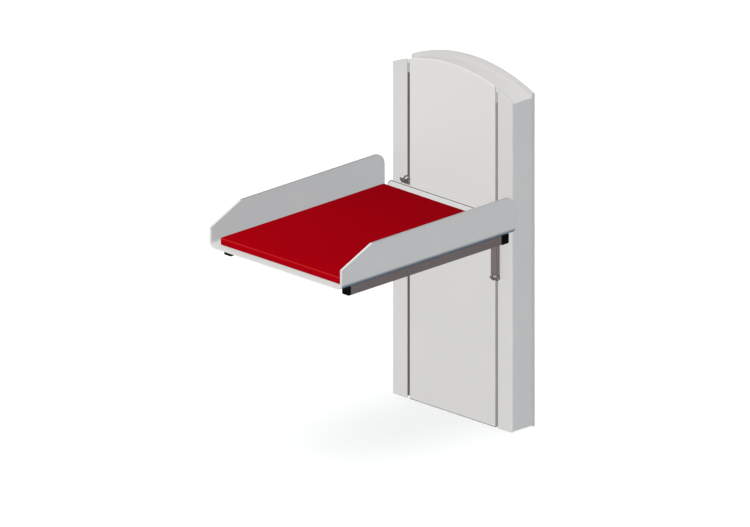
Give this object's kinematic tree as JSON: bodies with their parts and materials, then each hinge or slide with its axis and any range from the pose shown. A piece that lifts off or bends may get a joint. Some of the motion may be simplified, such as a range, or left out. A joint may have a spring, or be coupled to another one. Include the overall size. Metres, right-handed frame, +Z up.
{
  "type": "baby changing station",
  "caption": "Wall-mounted baby changing station: a slim arched lift column carries a padded tray with side guards on arms that slide up and down through slots in its front.",
  "frame": {"origin": "on the wall face of the back plate, at the middle of its width, 700 mm above the column's foot", "axes": "+Z up, +Y into the wall, so the tray reaches out along -Y, and +X to the right of someone facing the station"},
  "size_m": [0.721, 1.081, 1.4295],
  "materials": {
    "casing_white": "satin white laminate board",
    "tray_white": "satin white thermoformed sheet",
    "taupe_steel": "taupe powder coat",
    "bright_steel": "bright zinc-plated steel",
    "black_plastic": "black moulded plastic",
    "grey_plastic": "light grey moulded plastic",
    "bearing_plastic": "natural bearing plastic",
    "red_vinyl": "red vinyl-coated cover over foam"
  },
  "bodies": {
    "column": {"back_plate": "casing_white", "centre_panel": "casing_white", "front_strip_left": "casing_white", "front_strip_right": "casing_white", "top_cover": "casing_white", "side_panel_left": "casing_white", "side_panel_right": "casing_white", "glide_rail_left": "grey_plastic", "glide_rail_right": "grey_plastic", "frame_web": "taupe_steel", "frame_flange_left": "taupe_steel", "frame_flange_right": "taupe_steel", "header_beam": "taupe_steel", "footer_beam": "taupe_steel", "guide_rod_left": "bright_steel", "guide_rod_right": "bright_steel", "actuator_gearbox": "black_plastic", "actuator_motor": "black_plastic", "actuator_tube": "grey_plastic", "control_box": "grey_plastic", "mains_gland": "black_plastic"},
    "lift": {"actuator_rod": "bright_steel", "carriage_beam": "taupe_steel", "carriage_plate_left": "taupe_steel", "carriage_plate_right": "taupe_steel", "bearing_block_lower_left": "taupe_steel", "bearing_block_upper_left": "taupe_steel", "bearing_block_lower_right": "taupe_steel", "bearing_block_upper_right": "taupe_steel", "bearing_bush_lower_left": "bearing_plastic", "bearing_bush_upper_left": "bearing_plastic", "bearing_bush_lower_right": "bearing_plastic", "bearing_bush_upper_right": "bearing_plastic", "arm_left": "taupe_steel", "arm_right": "taupe_steel", "arm_pin_lower_left": "bright_steel", "arm_pin_upper_left": "bright_steel", "arm_pin_lower_right": "bright_steel", "arm_pin_upper_right": "bright_steel", "pin_clip_lower_left": "bright_steel", "pin_clip_upper_left": "bright_steel", "pin_clip_lower_right": "bright_steel", "pin_clip_upper_right": "bright_steel", "arm_spacer_left": "taupe_steel", "arm_spacer_right": "taupe_steel", "cross_tube": "taupe_steel", "long_tube_left": "taupe_steel", "long_tube_right": "taupe_steel", "front_cap_left": "black_plastic", "front_cap_right": "black_plastic", "side_cap_left": "black_plastic", "side_cap_right": "black_plastic", "tray": "tray_white", "mat": "red_vinyl"}
  },
  "joints": [
    {"name": "tray_lift", "type": "slide", "parent": "column", "child": "lift", "axis": [0, 0, 1], "range_m": [-0.2, 0.1]}
  ]
}
